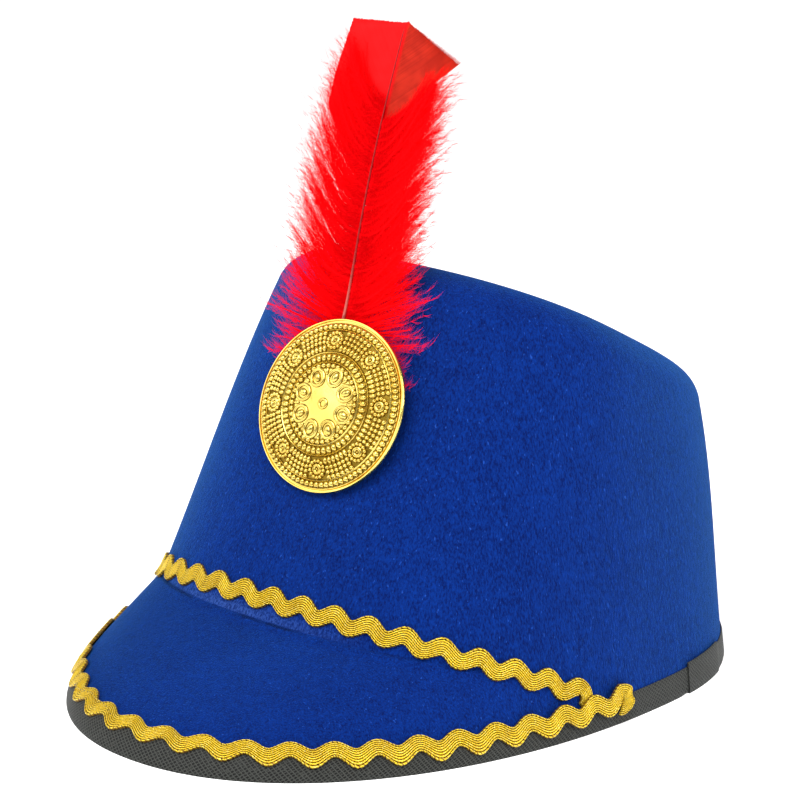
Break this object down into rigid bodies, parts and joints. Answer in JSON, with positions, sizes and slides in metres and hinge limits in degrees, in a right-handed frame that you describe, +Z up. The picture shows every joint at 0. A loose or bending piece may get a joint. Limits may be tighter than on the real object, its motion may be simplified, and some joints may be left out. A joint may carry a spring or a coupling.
{
  "type": "majorette hat",
  "caption": "Marching hat in moulded felt with a tall crown set back, a short peak, wavy braid, a domed medallion and an upright feather.",
  "frame": {"origin": "on the surface the hat rests on, under the middle of its bounding box", "axes": "-Y towards the front of the peak, +X towards the wearer's left, +Z up"},
  "size_m": [0.1831, 0.241, 0.2133],
  "materials": {
    "felt": "napped royal blue felt",
    "tape": "black embossed non-woven tape",
    "braid": "gold metallic wavy braid",
    "ornament": "metallised gold",
    "feather": "dyed red feather barbs",
    "quill": "dyed feather shaft"
  },
  "bodies": {
    "root": {"felt_body": "felt", "edge_binding": "tape", "crown_braid": "braid", "peak_braid": "braid", "medallion": "ornament", "feather_vane": "feather", "feather_quill": "quill"}
  },
  "joints": []
}
